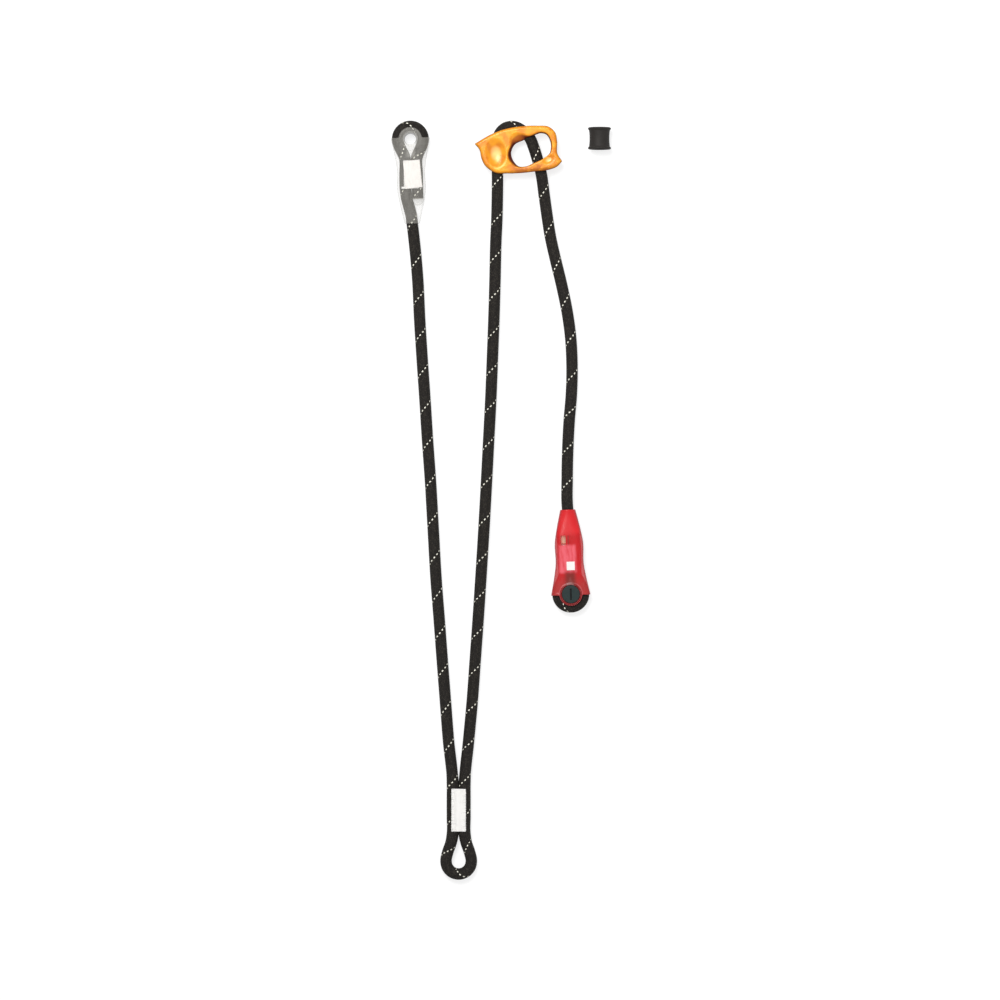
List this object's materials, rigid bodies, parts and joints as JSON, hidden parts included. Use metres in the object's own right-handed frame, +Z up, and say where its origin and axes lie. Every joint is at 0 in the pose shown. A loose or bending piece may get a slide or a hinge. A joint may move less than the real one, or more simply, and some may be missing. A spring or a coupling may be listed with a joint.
{
  "type": "adjustable rope lanyard",
  "caption": "Y-shaped sewn rope lanyard with a fixed arm, an arm that a metal rope adjuster shortens, and moulded covers on both sewn eyes.",
  "frame": {"origin": "middle of the bottom of the bounding box of all pieces but the free rope, on the floor it lies on", "axes": "+Y from the harness loop to the eye of the fixed arm, +Z up from the floor, +X from the fixed arm to the keeper"},
  "size_m": [0.1916, 0.66, 0.02],
  "materials": {
    "rope": "braided black sheath with one pale tracer yarn",
    "thread": "dense white zigzag sewing",
    "label": "blank woven label",
    "clear_cover": "clear moulded elastomer, faintly smoky",
    "red_cover": "translucent red moulded elastomer",
    "plug_rubber": "satin black rubber",
    "keeper_rubber": "matt black rubber",
    "anodised": "orange anodised forging"
  },
  "bodies": {
    "harness": {"harness_loop_rope": "rope", "harness_stitching": "thread", "adjustable_arm_rope": "rope"},
    "fixed_arm": {"fixed_arm_rope": "rope", "fixed_eye_rope": "rope", "fixed_eye_stitching": "thread", "fixed_eye_cover": "clear_cover", "fixed_eye_label": "label"},
    "rope_carriage": {"tail_rope": "rope"},
    "adjuster": {"adjuster_body": "anodised", "adjuster_bight_rope": "rope"},
    "stopper": {"stopper_eye_rope": "rope", "stopper_eye_stitching": "thread", "stopper_eye_cover": "red_cover", "stopper_eye_label": "label", "stopper_eye_plug": "plug_rubber"},
    "loose_keeper": {"keeper": "keeper_rubber"}
  },
  "joints": [
    {"name": "fixed_arm_swing", "type": "hinge", "parent": "harness", "child": "fixed_arm", "pos_m": [-0.0418, -0.2458, 0.0059], "axis": [0, 0, 1], "range_deg": [-2, 90], "deforming": ["fixed_arm_rope"]},
    {"name": "adjuster_slide", "type": "slide", "parent": "harness", "child": "rope_carriage", "axis": [-0.0538, -0.9986, 0], "range_m": [-0.13, 0.26], "deforming": ["adjustable_arm_rope"]},
    {"name": "adjuster_tilt", "type": "hinge", "parent": "rope_carriage", "child": "adjuster", "pos_m": [0.0076, 0.3125, 0.0082], "axis": [0, 0, 1], "range_deg": [-12, 12], "deforming": ["adjuster_bight_rope"]},
    {"name": "stopper_slide", "type": "slide", "parent": "rope_carriage", "child": "stopper", "axis": [0.0639, -0.998, 0], "range_m": [-0.13, 0.26], "deforming": ["tail_rope"]},
    {"name": "keeper_lift", "type": "slide", "parent": "harness", "child": "loose_keeper", "axis": [0, 0, 1], "range_m": [0, 0.05]}
  ],
  "couplings": [
    {"joint": "stopper_slide", "follows": "adjuster_slide", "ratio": 1}
  ]
}
